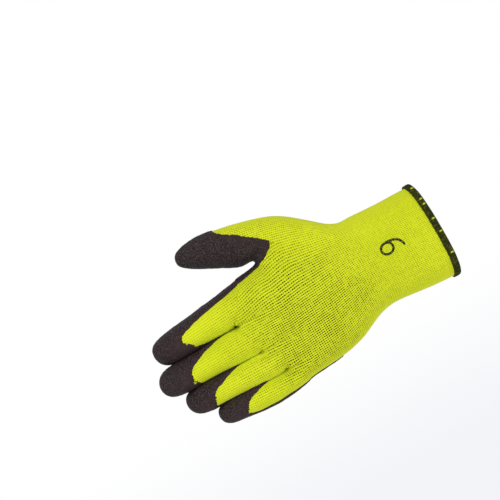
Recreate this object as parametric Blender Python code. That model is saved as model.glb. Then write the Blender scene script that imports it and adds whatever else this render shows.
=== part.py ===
"""A knitted work glove for the left hand, dipped in black crinkled latex.

Blender 4.5, metres. The glove keeps its worn shape, as if a hand were in it. Its origin is the centre of
the cuff's mouth. The hand runs along -X, the thumb side is +Z, the back of the hand faces -Y and the palm
faces +Y. Lengths along the hand are counted from the mouth towards the fingertips.
"""
import math

import bmesh
import bpy
from mathutils import Vector

# Driving sizes, in metres
GLOVE_LENGTH = 0.2445   # mouth of the cuff to the tip of the middle finger
PALM_WIDTH = 0.1000     # across the knuckles
HAND_DEPTH = 0.0210     # half of the palm's thickness
FINGER_DEPTH = 0.0125   # half of a finger's thickness at its root
THUMB_DEPTH = 0.0150    # half of the thumb's thickness at its root
KNIT_WALL = 0.0016
LATEX_WALL = 0.0010
SEAT_GAP = 0.0003       # between the knit and what lies on it
FINGER_GAP = 0.0036     # between the knit of two neighbouring fingers
BAND_WIDTH = 0.0052
BAND_WALL = 0.0012
WEB_RISE = 0.0036       # from a crotch to where its two fingers are apart

# The body of the glove, one row for each section. along is a share of GLOVE_LENGTH, radial and ulnar are
# the thumb and little-finger edges in shares of PALM_WIDTH, back and palm are shares of HAND_DEPTH, and
# lane is the first lane's distance from the thumb edge as a share of the section's width.
PALM_SECTIONS = (
    # along, radial, ulnar, back, palm, lane
    (0.006, 0.390, -0.390, 1.00, 1.00, 0.09),
    (0.050, 0.390, -0.387, 0.99, 0.99, 0.09),
    (0.140, 0.394, -0.364, 0.95, 0.97, 0.09),
    (0.225, 0.412, -0.342, 0.92, 0.98, 0.10),
    (0.295, 0.450, -0.368, 0.94, 1.06, 0.12),
    (0.360, 0.470, -0.436, 0.97, 1.14, 0.13),
    (0.425, 0.474, -0.480, 0.98, 1.16, 0.13),
    (0.492, 0.468, -0.497, 0.96, 1.08, 0.12),
    (0.557, 0.448, -0.508, 0.90, 0.94, 0.10),
)
THUMB_FIRST = 4         # the thumb grows from the sections THUMB_FIRST to THUMB_LAST
THUMB_LAST = 8

# Lanes of the back and palm, radial to ulnar: the middle of each finger and the crotches between them, as
# shares of the width from the thumb edge.
KNUCKLE_LANES = (0.045, 0.160, 0.319, 0.461, 0.604, 0.706, 0.809, 0.905, 0.975)

# The knuckle row, one row for each lane: along is a share of GLOVE_LENGTH, back and palm are shares of
# HAND_DEPTH.
KNUCKLES = (
    # along, back, palm
    (0.638, 0.58, 0.46),
    (0.660, 0.78, 0.68),
    (0.700, 0.46, 0.38),
    (0.672, 0.78, 0.68),
    (0.672, 0.44, 0.38),
    (0.638, 0.74, 0.66),
    (0.630, 0.40, 0.36),
    (0.606, 0.64, 0.58),
    (0.594, 0.38, 0.34),
)
KNUCKLE_EDGES = ((0.630, 0.414), (0.590, -0.526))   # along and across, thumb edge and little-finger edge

# Fingers, radial to ulnar. Places across and widths are shares of PALM_WIDTH, tip is a share of
# GLOVE_LENGTH, root and end are thicknesses in shares of FINGER_DEPTH, and curl is how far the tip leans
# towards the palm, in shares of GLOVE_LENGTH.
FINGERS = (
    # root across, tip across, tip, root width, tip width, root, end, curl
    (0.2560, 0.2140, 0.970, 0.302, 0.230, 1.14, 0.88, 0.034),
    (-0.0290, -0.0240, 1.000, 0.266, 0.208, 1.14, 0.88, 0.040),
    (-0.2620, -0.2320, 0.954, 0.226, 0.196, 1.08, 0.84, 0.044),
    (-0.4660, -0.4240, 0.884, 0.210, 0.170, 0.94, 0.78, 0.040),
)
# The gaps beside the fingers, in metres: from the thumb side of the index finger to the far side of the
# little finger, which is as full as its width says. At their roots, where the crotches are rounded out, the
# fingers keep wider gaps.
FINGER_GAPS = (FINGER_GAP, FINGER_GAP, FINGER_GAP, FINGER_GAP, 0.0000)
ROOT_GAPS = (0.0000, 0.0062, 0.0062, 0.0062, 0.0082)
FINGER_STEPS = (0.34, 0.68)     # sections between a finger's root and its tip, as shares of its length
TIP_STEPS = ((1.30, 0.98), (0.42, 0.78))    # how far below the tip, in shares of its depth, and the scale

# The thumb, one row for each section from its root to its tip: the outer and the inner edge, with along in
# shares of GLOVE_LENGTH, across in shares of PALM_WIDTH and level, towards the palm, in shares of
# HAND_DEPTH. depth is a share of THUMB_DEPTH.
THUMB_SECTIONS = (
    # outer along, outer across, outer level, inner along, inner across, inner level, depth
    (0.395, 0.650, -0.05, 0.556, 0.490, 0.20, 1.10),
    (0.490, 0.755, -0.15, 0.590, 0.505, 0.42, 0.98),
    (0.595, 0.815, -0.12, 0.640, 0.565, 0.56, 0.82),
    (0.682, 0.838, 0.00, 0.702, 0.645, 0.62, 0.68),
    (0.732, 0.828, 0.14, 0.742, 0.700, 0.56, 0.46),
)
THUMB_TIP = (0.764, 0.776, 0.34)    # along, across, level

# Dents and folds. Each runs from one place to another, along in shares of GLOVE_LENGTH and across in
# shares of PALM_WIDTH. width and depth are shares of HAND_DEPTH, and side is -1 on the back, 1 on the palm.
DENTS = (
    # side, from along, from across, to along, to across, width, depth
    (-1, 0.700, 0.095, 0.560, 0.080, 0.24, 0.10),
    (-1, 0.672, -0.185, 0.545, -0.150, 0.24, 0.10),
    (-1, 0.630, -0.385, 0.520, -0.330, 0.22, 0.08),
    (-1, 0.500, 0.420, 0.330, 0.300, 0.50, 0.14),
    (1, 0.640, 0.330, 0.590, -0.480, 0.26, 0.13),
    (1, 0.560, 0.330, 0.300, 0.060, 0.34, 0.18),
    (1, 0.545, -0.100, 0.380, -0.160, 0.80, 0.24),
)

# The dip: the latex lies below a level that drops from the palm near the wrist to the back of the fingers.
# along is a share of GLOVE_LENGTH, level a share of HAND_DEPTH.
DIP_LEVELS = (
    # along, level
    (0.180, 2.20),
    (0.240, 1.00),
    (0.400, 0.50),
    (0.540, 0.00),
    (0.610, -0.16),
    (0.640, 0.60),
)
# Each finger keeps a petal of dry knit on its back. end is how far the petal's tip is from the fingertip,
# a share of GLOVE_LENGTH. The turns are in degrees round the finger, from the middle of its back: where
# the tip lies, and how far the petal reaches to both sides at PETAL_REACH from its tip and there lies even.
PETALS = (
    # end, tip turn, radial turn, ulnar turn
    (0.101, -5.0, 45.0, 98.0),
    (0.096, -28.0, 81.0, 94.0),
    (0.081, -44.0, 86.0, 104.0),
    (0.080, -45.0, 88.0, 62.0),
)
PETAL_REACH = 0.147     # a share of GLOVE_LENGTH
PETAL_ROUNDING = 3.0    # how blunt a petal's tip is: 2 is a parabola, more is blunter
PETAL_START = 0.625     # where the petals begin, a share of GLOVE_LENGTH
PETAL_FADE = 1.2        # how fast they fade in before that, a slope
# Between thumb and index finger the knit ends along a curve that follows the web: across = WEB_ACROSS +
# WEB_CURVE / (along - WEB_ALONG), with shares of GLOVE_LENGTH and PALM_WIDTH.
WEB_ALONG = 0.430
WEB_ACROSS = 0.337
WEB_CURVE = 0.0115
# On the thumb the knit ends in a slanted plane through three places: along, across, level.
THUMB_DIP = ((0.622, 0.841, 0.10), (0.474, 0.535, -0.75), (0.400, 0.500, 0.50))
DIP_BLEND = 0.0040      # how round the corners of the dip line are
DIP_SNAP = 0.0006       # a vertex this near the dip line lies on it

BODY_ROUNDING = 2.4     # how full a body section is: 2 is an ellipse, more is boxier
CAP_DOME = 0.5          # how much lower a wide tip is at its sides than in its middle
DENT_TURN = 0.6         # how fast a dent fades from its side to the other, a share of HAND_DEPTH
CREASE_ANGLE = math.radians(50)
SMOOTH_LEVELS = 1
FIT_ROUNDS = 4


def clear_scene():
    for obj in list(bpy.data.objects):
        bpy.data.objects.remove(obj, do_unlink=True)


def material(name, colour, roughness):
    mat = bpy.data.materials.new(name)
    mat.use_nodes = True
    shader = mat.node_tree.nodes["Principled BSDF"]
    shader.inputs["Base Color"].default_value = (*colour, 1.0)
    shader.inputs["Roughness"].default_value = roughness
    shader.inputs["Metallic"].default_value = 0.0
    mat.diffuse_color = (*colour, 1.0)
    return mat


def place(along, across, level):
    """A point from its distance along the hand, across it and towards the palm, in metres."""
    return Vector((-along, level, across))


def mix(a, b, share):
    return a + (b - a) * share


def table_value(rows, along, column):
    """Reads a column of a table that is sorted by its first column, with straight lines between rows."""
    if along <= rows[0][0]:
        return rows[0][column]
    for low, high in zip(rows, rows[1:]):
        if along <= high[0]:
            return mix(low[column], high[column], (along - low[0]) / (high[0] - low[0]))
    return rows[-1][column]


def smooth_max(a, b, blend):
    reach = max(blend - abs(a - b), 0.0) / blend
    return max(a, b) + reach * reach * blend / 4


def smooth_min(a, b, blend):
    return -smooth_max(-a, -b, blend)


def ease(value):
    value = min(max(value, 0.0), 1.0)
    return value * value * (3 - 2 * value)


def lane_shares(first):
    """The lanes of a section whose first lane is given: the knuckle lanes, squeezed to fit."""
    knuckle_first = KNUCKLE_LANES[0]
    squeeze = (1 - first) / (1 - knuckle_first)
    return [first + (lane - knuckle_first) * squeeze for lane in KNUCKLE_LANES]


def palm_ring(section):
    """The 20 points of a body section: thumb edge, back lanes, little-finger edge, palm lanes."""
    along, radial, ulnar, back, palm, lane = section
    along *= GLOVE_LENGTH
    radial *= PALM_WIDTH
    ulnar *= PALM_WIDTH
    backs = []
    palms = []
    for share in lane_shares(lane):
        across = mix(radial, ulnar, share)
        bulge = (1 - abs(2 * share - 1) ** BODY_ROUNDING) ** 0.5
        backs.append(place(along, across, -back * HAND_DEPTH * bulge))
        palms.append(place(along, across, palm * HAND_DEPTH * bulge))
    return [place(along, radial, 0)] + backs + [place(along, ulnar, 0)] + palms[::-1]


def knuckle_ring():
    """The last body ring, whose points at the crotches are shared by two fingers."""
    (radial_along, radial), (ulnar_along, ulnar) = KNUCKLE_EDGES
    backs = []
    palms = []
    for lane, (along, back, palm) in zip(KNUCKLE_LANES, KNUCKLES):
        across = mix(radial, ulnar, lane) * PALM_WIDTH
        backs.append(place(along * GLOVE_LENGTH, across, -back * HAND_DEPTH))
        palms.append(place(along * GLOVE_LENGTH, across, palm * HAND_DEPTH))
    radial_point = place(radial_along * GLOVE_LENGTH, radial * PALM_WIDTH, 0)
    ulnar_point = place(ulnar_along * GLOVE_LENGTH, ulnar * PALM_WIDTH, 0)
    return [radial_point] + backs + [ulnar_point] + palms[::-1]


def finger_centre(finger, share):
    """A finger's middle line at a share of the way from its root to its tip, with half its sizes.

    The gaps to its neighbours aren't taken off its width yet.
    """
    root_across, tip_across, tip, root_width, tip_width, root, end, curl = FINGERS[finger]
    low = KNUCKLES[2 * finger + 1][0] * GLOVE_LENGTH
    along = mix(low, tip * GLOVE_LENGTH, share)
    across = mix(root_across, tip_across, share) * PALM_WIDTH
    level = curl * GLOVE_LENGTH * share * share
    width = mix(root_width, tip_width, share) * PALM_WIDTH / 2
    depth = mix(root, end, share) * FINGER_DEPTH
    return place(along, across, level), width, depth


def finger_ring(finger, share, scale, gaps=FINGER_GAPS):
    """Eight points round a finger, from the thumb side over the back to the other side and the palm."""
    centre, width, depth = finger_centre(finger, share)
    thumb_gap, other_gap = gaps[finger:finger + 2]
    ahead = finger_centre(finger, share + 0.01)[0]
    along = (ahead - centre).normalized()
    side = Vector((0, 0, 1))
    side = (side - along * side.dot(along)).normalized()
    back = side.cross(along)
    if back.y > 0:
        back = -back
    points = []
    for step in range(8):
        turn = math.radians(45 * step)
        gap = thumb_gap if math.cos(turn) > 0 else other_gap
        offset = side * (width - gap / 2) * math.cos(turn) + back * depth * math.sin(turn)
        points.append(centre + offset * scale)
    return points


def root_ring(finger, webs):
    """A finger's first ring, just past its crotches, where it has come free of its neighbours."""
    ring = finger_ring(finger, 0.0, 1.0, ROOT_GAPS)
    crotch_radial = -webs[finger].x
    crotch_ulnar = -webs[finger + 1].x
    top = max(point.z for point in ring)
    low = min(point.z for point in ring)
    for point in ring:
        share = (top - point.z) / (top - low)
        point.x = -(mix(crotch_radial, crotch_ulnar, share) + WEB_RISE)
    return ring


class Cage:
    """Collects the corner points and the four-sided faces of the glove's coarse shape."""

    def __init__(self):
        self.points = []
        self.faces = []

    def add(self, points):
        first = len(self.points)
        self.points.extend(points)
        return list(range(first, len(self.points)))

    def bridge(self, ring_a, ring_b, skip=()):
        """Faces between two rings of equal length, except those that start at a step in skip."""
        count = len(ring_a)
        for step in range(count):
            if step not in skip:
                after = (step + 1) % count
                self.faces.append((ring_a[step], ring_b[step], ring_b[after], ring_a[after]))

    def cap(self, ring, tip):
        """Closes a digit: rows of faces from the back lane over the middle to the palm lane."""
        half = len(ring) // 2
        backs = ring[1:half]
        palms = ring[half + 1:][::-1]
        middle = []
        side_a = self.points[ring[0]]
        side_b = self.points[ring[half]]
        for step in range(1, len(backs) - 1):
            share = step / (len(backs) - 1)
            dome = 1 - (2 * share - 1) ** 2 * CAP_DOME
            level = side_a.lerp(side_b, share)
            middle.append(level + (tip - side_a.lerp(side_b, 0.5)) * dome)
        middle = [ring[0]] + self.add(middle) + [ring[half]]
        for row_a, row_b in ((backs, middle), (middle, palms)):
            for step in range(len(backs) - 1):
                self.faces.append((row_a[step], row_b[step], row_b[step + 1], row_a[step + 1]))


def thumb_ring(section):
    """Twelve points round the thumb, from its outer edge over the back to its inner edge and the palm."""
    outer_along, outer_across, outer_level, inner_along, inner_across, inner_level, depth = section
    outer = place(outer_along * GLOVE_LENGTH, outer_across * PALM_WIDTH, outer_level * HAND_DEPTH)
    inner = place(inner_along * GLOVE_LENGTH, inner_across * PALM_WIDTH, inner_level * HAND_DEPTH)
    centre = outer.lerp(inner, 0.5)
    side = outer - centre
    back = Vector((0, -1, 0))
    back = (back - side * back.dot(side) / side.length_squared).normalized()
    points = []
    for step in range(12):
        turn = math.radians(30 * step)
        points.append(centre + side * math.cos(turn) + back * depth * THUMB_DEPTH * math.sin(turn))
    return points


def build_cage():
    """The coarse shape: body rings, a knuckle ring that splits into fingers, and the thumb."""
    cage = Cage()
    rings = [cage.add(palm_ring(section)) for section in PALM_SECTIONS]
    knuckles = cage.add(knuckle_ring())
    rings.append(knuckles)
    thumb_steps = (0, len(rings[0]) - 1)
    for step, (ring_a, ring_b) in enumerate(zip(rings, rings[1:])):
        skip = thumb_steps if THUMB_FIRST <= step < THUMB_LAST else ()
        cage.bridge(ring_a, ring_b, skip)

    backs = knuckles[1:10]
    palms = knuckles[11:][::-1]
    sides = [knuckles[0]]
    for lane in (2, 4, 6):
        back_point = cage.points[backs[lane]]
        palm_point = cage.points[palms[lane]]
        sides += cage.add([back_point.lerp(palm_point, 0.5)])
    sides.append(knuckles[10])

    webs = [cage.points[side] for side in sides]
    for finger in range(4):
        lane = 2 * finger
        loop = [sides[finger]] + backs[lane:lane + 3] + [sides[finger + 1]] + palms[lane:lane + 3][::-1]
        length = (finger_centre(finger, 1.0)[0] - finger_centre(finger, 0.0)[0]).length
        depth = finger_centre(finger, 1.0)[2]
        shares = [(share, 1.0) for share in FINGER_STEPS]
        shares += [(1 - below * depth / length, scale) for below, scale in TIP_STEPS]
        ring = cage.add(root_ring(finger, webs))
        cage.bridge(loop, ring)
        for share, scale in shares:
            after = cage.add(finger_ring(finger, share, scale))
            cage.bridge(ring, after)
            ring = after
        cage.cap(ring, finger_centre(finger, 1.0)[0])

    span = rings[THUMB_FIRST:THUMB_LAST + 1]
    loop = [span[0][0]] + [ring[1] for ring in span] + [span[-1][0]] + [ring[-1] for ring in span[::-1]]
    for section in THUMB_SECTIONS:
        ring = cage.add(thumb_ring(section))
        cage.bridge(loop, ring)
        loop = ring
    along, across, level = THUMB_TIP
    cage.cap(loop, place(along * GLOVE_LENGTH, across * PALM_WIDTH, level * HAND_DEPTH))
    return drop_unused(cage)


def drop_unused(cage):
    """Leaves out the corner points under the thumb that no face uses."""
    used = sorted({corner for face in cage.faces for corner in face})
    number = {old: new for new, old in enumerate(used)}
    cage.points = [cage.points[old] for old in used]
    cage.faces = [tuple(number[corner] for corner in face) for face in cage.faces]
    return cage


def smoothed(points, faces, levels):
    """The smooth surface of a cage, as a new mesh. Its first vertices are the cage's own."""
    mesh = bpy.data.meshes.new("cage")
    mesh.from_pydata(points, [], faces)
    obj = bpy.data.objects.new("cage", mesh)
    bpy.context.scene.collection.objects.link(obj)
    smooth = obj.modifiers.new("smooth", "SUBSURF")
    smooth.levels = levels
    smooth.render_levels = levels
    depsgraph = bpy.context.evaluated_depsgraph_get()
    result = bpy.data.meshes.new_from_object(obj.evaluated_get(depsgraph))
    bpy.data.objects.remove(obj, do_unlink=True)
    bpy.data.meshes.remove(mesh)
    return result


def fitted(points, faces):
    """Swells a cage until its smooth surface runs through the points that it was drawn with."""
    swollen = [point.copy() for point in points]
    for _ in range(FIT_ROUNDS):
        surface = smoothed(swollen, faces, SMOOTH_LEVELS)
        for number, point in enumerate(points):
            swollen[number] += point - surface.vertices[number].co
        bpy.data.meshes.remove(surface)
    return swollen


def dent_depth(point):
    """How far the dents and folds press a point of the surface in."""
    depth = 0.0
    for side, along_a, across_a, along_b, across_b, width, deep in DENTS:
        start = Vector((along_a * GLOVE_LENGTH, across_a * PALM_WIDTH))
        end = Vector((along_b * GLOVE_LENGTH, across_b * PALM_WIDTH))
        here = Vector((-point.x, point.z))
        run = end - start
        share = min(max((here - start).dot(run) / run.length_squared, 0.0), 1.0)
        gone = (here - start.lerp(end, share)).length / (width * HAND_DEPTH)
        facing = ease(0.5 + side * point.y / (DENT_TURN * HAND_DEPTH))
        depth += deep * HAND_DEPTH * facing * math.exp(-gone * gone)
    return depth


def glove_skin():
    """The knit's outer surface: the smooth cage with its dents, in triangles."""
    cage = build_cage()
    points = fitted(cage.points, cage.faces)
    surface = smoothed(points, cage.faces, SMOOTH_LEVELS)
    dented = []
    for vertex in surface.vertices:
        dented.append(vertex.co - vertex.normal * dent_depth(vertex.co))
    for vertex, spot in zip(surface.vertices, dented):
        vertex.co = spot
    skin = bmesh.new()
    skin.from_mesh(surface)
    bpy.data.meshes.remove(surface)
    bmesh.ops.triangulate(skin, faces=skin.faces[:], quad_method="SHORT_EDGE")
    bmesh.ops.recalc_face_normals(skin, faces=skin.faces[:])
    skin.normal_update()
    return skin


def finger_of(point):
    """The finger whose middle line is nearest, with the share of its length that the point is at."""
    best = None
    for finger, row in enumerate(FINGERS):
        low = KNUCKLES[2 * finger + 1][0] * GLOVE_LENGTH
        share = (-point.x - low) / (row[2] * GLOVE_LENGTH - low)
        centre, width, depth = finger_centre(finger, share)
        width -= FINGER_GAP / 2
        away = abs(point.z - centre.z) / width
        if best is None or away < best[0]:
            best = (away, finger, centre, width, depth)
    return best[1:]


def petal_height(point):
    """How far inside its finger's dry petal a point is, in metres, negative outside."""
    finger, centre, width, depth = finger_of(point)
    end, tip_turn, radial_turn, ulnar_turn = PETALS[finger]
    tip = FINGERS[finger][2] * GLOVE_LENGTH
    below = (tip - end * GLOVE_LENGTH + point.x) / (PETAL_REACH * GLOVE_LENGTH)
    turn = math.degrees(math.atan2((point.z - centre.z) / width, -(point.y - centre.y) / depth))
    turn -= tip_turn * max(1 - below, 0.0)
    reach = radial_turn if turn > 0 else ulnar_turn
    return (below - abs(turn / reach) ** PETAL_ROUNDING) * depth


def dry_height(point):
    """Above zero the knit is dry, below zero it is under the latex. Roughly a distance in metres."""
    along = -point.x
    level = table_value(DIP_LEVELS, along / GLOVE_LENGTH, 1) * HAND_DEPTH
    dry = level - point.y
    past_web = along / GLOVE_LENGTH - WEB_ALONG
    if past_web > 0:
        web = (WEB_ACROSS + WEB_CURVE / past_web) * PALM_WIDTH
        dry = smooth_min(dry, web - point.z, DIP_BLEND)
    before_petals = max(PETAL_START * GLOVE_LENGTH - along, 0.0)
    dry = smooth_min(dry, petal_height(point) + PETAL_FADE * before_petals, DIP_BLEND)
    corners = [place(a * GLOVE_LENGTH, b * PALM_WIDTH, c * HAND_DEPTH) for a, b, c in THUMB_DIP]
    across_thumb = (corners[1] - corners[0]).cross(corners[2] - corners[0]).normalized()
    if across_thumb.x < 0:
        across_thumb = -across_thumb
    return smooth_max(dry, across_thumb.dot(point - corners[0]), DIP_BLEND)


def cut_to_coating(skin):
    """Splits the triangles of the skin along the dip line. Returns each vertex's height above it."""
    heights = {}
    for vertex in skin.verts:
        height = dry_height(vertex.co)
        heights[vertex] = 0.0 if abs(height) < DIP_SNAP else height
    new = []
    for edge in list(skin.edges):
        low, high = edge.verts
        if heights[low] * heights[high] < 0:
            share = heights[low] / (heights[low] - heights[high])
            vertex = bmesh.utils.edge_split(edge, low, share)[1]
            heights[vertex] = 0.0
            new.append(vertex)
    crossed = {face for vertex in new for face in vertex.link_faces}
    for face in crossed:
        marks = [vertex for vertex in face.verts if heights[vertex] == 0]
        if len(marks) == 2 and len(face.verts) > 3:
            bmesh.utils.face_split(face, marks[0], marks[1])
    bmesh.ops.triangulate(skin, faces=skin.faces[:], quad_method="SHORT_EDGE")
    return heights


def shell(name, points, normals, faces, low, high, mat):
    """A closed solid between two offsets from an open surface, with its edge walled up."""
    count = len(points)
    solid = [point + normal * high for point, normal in zip(points, normals)]
    solid += [point + normal * low for point, normal in zip(points, normals)]
    walls = [tuple(face) for face in faces]
    walls += [tuple(corner + count for corner in reversed(face)) for face in faces]
    sides = {}
    for face in faces:
        for step, corner in enumerate(face):
            sides[(corner, face[(step + 1) % len(face)])] = True
    for start, end in sides:
        if (end, start) not in sides:
            walls.append((end, start, start + count, end + count))
    mesh = bpy.data.meshes.new(name)
    mesh.from_pydata(solid, [], walls)
    mesh.shade_smooth()
    mesh.set_sharp_from_angle(angle=CREASE_ANGLE)
    mesh.materials.append(mat)
    obj = bpy.data.objects.new(name, mesh)
    bpy.context.scene.collection.objects.link(obj)
    return obj


def surface_data(skin, keep):
    """Points, normals and faces of the part of the skin whose faces pass the keep test."""
    skin.normal_update()
    faces = [face for face in skin.faces if keep(face)]
    used = sorted({vertex.index for face in faces for vertex in face.verts})
    skin.verts.ensure_lookup_table()
    number = {old: new for new, old in enumerate(used)}
    points = [skin.verts[old].co.copy() for old in used]
    normals = [skin.verts[old].normal.copy() for old in used]
    return points, normals, [[number[vertex.index] for vertex in face.verts] for face in faces]


def flat_mouth(points, normals):
    """Squares the edge of the cuff: its normals keep to the plane of the mouth."""
    mouth = -PALM_SECTIONS[0][0] * GLOVE_LENGTH
    for point, normal in zip(points, normals):
        if abs(point.x - mouth) < 1e-5:
            normal.x = 0
            normal.normalize()


def make_liner(skin):
    points, normals, faces = surface_data(skin, lambda face: True)
    flat_mouth(points, normals)
    knit = material("knit", (0.47, 0.52, 0.02), 0.85)
    return shell("knit_liner", points, normals, faces, -KNIT_WALL, 0, knit)


def make_coating(skin):
    coat = skin.copy()
    coat.verts.index_update()
    heights = cut_to_coating(coat)
    coat.verts.index_update()
    points, normals, faces = surface_data(coat, lambda face: max(heights[v] for v in face.verts) <= 0)
    coat.free()
    latex = material("latex", (0.035, 0.032, 0.033), 0.6)
    return shell("latex_coating", points, normals, faces, SEAT_GAP, SEAT_GAP + LATEX_WALL, latex)


def band_profile():
    """The overlock's section, clockwise: how far out of the knit it reaches, and its distance along."""
    outside = SEAT_GAP + BAND_WALL
    inside = -KNIT_WALL - SEAT_GAP - BAND_WALL
    round_off = BAND_WALL / 3
    mouth = PALM_SECTIONS[0][0] * GLOVE_LENGTH
    return (
        (SEAT_GAP, BAND_WIDTH),
        (outside, BAND_WIDTH),
        (outside, round_off),
        (outside - round_off, 0),
        (inside + round_off, 0),
        (inside, round_off),
        (inside, BAND_WIDTH),
        (-KNIT_WALL - SEAT_GAP, BAND_WIDTH),
        (-KNIT_WALL - SEAT_GAP, mouth - SEAT_GAP),
        (SEAT_GAP, mouth - SEAT_GAP),
    )


def make_band(skin):
    """The overlocked edge, swept round the mouth."""
    skin.normal_update()
    mouth = [vertex for vertex in skin.verts if vertex.is_boundary]
    mouth.sort(key=lambda vertex: math.atan2(vertex.co.y, vertex.co.z))
    points = []
    profile = band_profile()
    for vertex in mouth:
        normal = Vector((0, vertex.normal.y, vertex.normal.z)).normalized()
        for out, along in profile:
            spot = vertex.co + normal * out
            points.append(Vector((-along, spot.y, spot.z)))
    faces = []
    count = len(profile)
    for ring in range(len(mouth)):
        after = (ring + 1) % len(mouth)
        for step in range(count):
            step_after = (step + 1) % count
            corners = (ring * count + step, ring * count + step_after, after * count + step_after)
            faces.append((*corners, after * count + step))
    mesh = bpy.data.meshes.new("cuff_overlock")
    mesh.from_pydata(points, [], faces)
    tidy = bmesh.new()
    tidy.from_mesh(mesh)
    bmesh.ops.recalc_face_normals(tidy, faces=tidy.faces[:])
    tidy.to_mesh(mesh)
    tidy.free()
    mesh.shade_smooth()
    mesh.set_sharp_from_angle(angle=CREASE_ANGLE)
    mesh.materials.append(material("overlock", (0.035, 0.040, 0.016), 0.8))
    obj = bpy.data.objects.new("cuff_overlock", mesh)
    bpy.context.scene.collection.objects.link(obj)
    return obj


def main():
    clear_scene()
    skin = glove_skin()
    make_liner(skin)
    make_coating(skin)
    make_band(skin)
    skin.free()


main()
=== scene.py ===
"""The looks of a knitted work glove dipped in crinkled latex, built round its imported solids.

Metres, in the frame of the solids: the hand runs along -X from the mouth of the cuff, the thumb side is +Z,
the back of the hand faces -Y and the palm +Y.
"""
import math

import bmesh
import bpy
import numpy as np
from mathutils import Matrix, Vector, noise


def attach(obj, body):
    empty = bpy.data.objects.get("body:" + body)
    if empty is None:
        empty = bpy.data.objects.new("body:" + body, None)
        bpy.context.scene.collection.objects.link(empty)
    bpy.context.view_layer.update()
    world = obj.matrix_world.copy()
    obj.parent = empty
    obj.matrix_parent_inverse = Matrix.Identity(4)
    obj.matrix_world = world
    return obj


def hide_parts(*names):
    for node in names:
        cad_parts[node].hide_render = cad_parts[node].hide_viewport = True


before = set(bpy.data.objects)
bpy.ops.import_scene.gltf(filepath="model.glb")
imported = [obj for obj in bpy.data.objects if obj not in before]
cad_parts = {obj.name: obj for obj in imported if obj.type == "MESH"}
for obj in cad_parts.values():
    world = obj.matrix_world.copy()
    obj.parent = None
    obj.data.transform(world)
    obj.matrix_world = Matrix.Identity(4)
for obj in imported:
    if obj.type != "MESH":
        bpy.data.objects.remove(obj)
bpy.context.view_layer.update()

# The glove's own sizes and tables, as in its source
GLOVE_LENGTH = 0.2445
PALM_WIDTH = 0.1000
HAND_DEPTH = 0.0210
FINGER_DEPTH = 0.0125
THUMB_DEPTH = 0.0150
KNIT_WALL = 0.0016
LATEX_WALL = 0.0010
FINGER_GAP = 0.0036
# The gaps beside the fingers, a row for each. Between two fingers the knit lies closer here than in the
# solids, which keep clear of each other, so that the coated fingers touch and close their crotches.
FINGER_GAPS = (
    # thumb side, other side
    (0.0036, 0.0004),
    (-0.0010, 0.0004),
    (0.0006, -0.0012),
    (0.0014, 0.0000),
)
ROOT_GAPS = (
    # thumb side, other side
    (0.0000, -0.0010),
    (-0.0012, -0.0010),
    (-0.0010, -0.0012),
    (-0.0008, 0.0082),
)
BAND_WIDTH = 0.0052
BAND_WALL = 0.0012
SEAT_GAP = 0.0003
WEB_RISE = 0.0036
PALM_SECTIONS = (
    # along, radial, ulnar, back, palm, lane
    (0.006, 0.390, -0.390, 1.00, 1.00, 0.09),
    (0.050, 0.390, -0.387, 0.99, 0.99, 0.09),
    (0.140, 0.394, -0.364, 0.95, 0.97, 0.09),
    (0.225, 0.412, -0.342, 0.92, 0.98, 0.10),
    (0.295, 0.450, -0.368, 0.94, 1.06, 0.12),
    (0.360, 0.470, -0.436, 0.97, 1.14, 0.13),
    (0.425, 0.474, -0.480, 0.98, 1.16, 0.13),
    (0.492, 0.468, -0.497, 0.96, 1.08, 0.12),
    (0.557, 0.448, -0.508, 0.90, 0.94, 0.10),
)
THUMB_FIRST = 4
THUMB_LAST = 8
KNUCKLE_LANES = (0.045, 0.160, 0.319, 0.461, 0.604, 0.706, 0.809, 0.905, 0.975)
KNUCKLES = (
    # along, back, palm
    (0.638, 0.58, 0.46),
    (0.660, 0.78, 0.68),
    (0.700, 0.46, 0.38),
    (0.672, 0.78, 0.68),
    (0.672, 0.44, 0.38),
    (0.638, 0.74, 0.66),
    (0.630, 0.40, 0.36),
    (0.606, 0.64, 0.58),
    (0.594, 0.38, 0.34),
)
KNUCKLE_EDGES = ((0.630, 0.414), (0.590, -0.526))
FINGERS = (
    # root across, tip across, tip, root width, tip width, root, end, curl
    (0.2560, 0.2140, 0.970, 0.302, 0.230, 1.14, 0.88, 0.034),
    (-0.0290, -0.0240, 1.000, 0.266, 0.208, 1.14, 0.88, 0.040),
    (-0.2620, -0.2320, 0.954, 0.226, 0.196, 1.08, 0.84, 0.044),
    (-0.4660, -0.4240, 0.884, 0.210, 0.170, 0.94, 0.78, 0.040),
)
FINGER_STEPS = (0.34, 0.68)
TIP_STEPS = ((1.30, 0.98), (0.42, 0.78))
THUMB_SECTIONS = (
    # outer along, outer across, outer level, inner along, inner across, inner level, depth
    (0.395, 0.650, -0.05, 0.556, 0.490, 0.20, 1.10),
    (0.490, 0.755, -0.15, 0.590, 0.505, 0.42, 0.98),
    (0.595, 0.815, -0.12, 0.640, 0.565, 0.56, 0.82),
    (0.682, 0.838, 0.00, 0.702, 0.645, 0.62, 0.68),
    (0.732, 0.828, 0.14, 0.742, 0.700, 0.56, 0.46),
)
THUMB_TIP = (0.764, 0.776, 0.34)
DENTS = (
    # side, from along, from across, to along, to across, width, depth
    (-1, 0.700, 0.095, 0.560, 0.080, 0.24, 0.10),
    (-1, 0.672, -0.185, 0.545, -0.150, 0.24, 0.10),
    (-1, 0.630, -0.385, 0.520, -0.330, 0.22, 0.08),
    (-1, 0.500, 0.420, 0.330, 0.300, 0.50, 0.14),
    (1, 0.640, 0.330, 0.590, -0.480, 0.26, 0.13),
    (1, 0.560, 0.330, 0.300, 0.060, 0.34, 0.18),
    (1, 0.545, -0.100, 0.380, -0.160, 0.80, 0.24),
)
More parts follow.
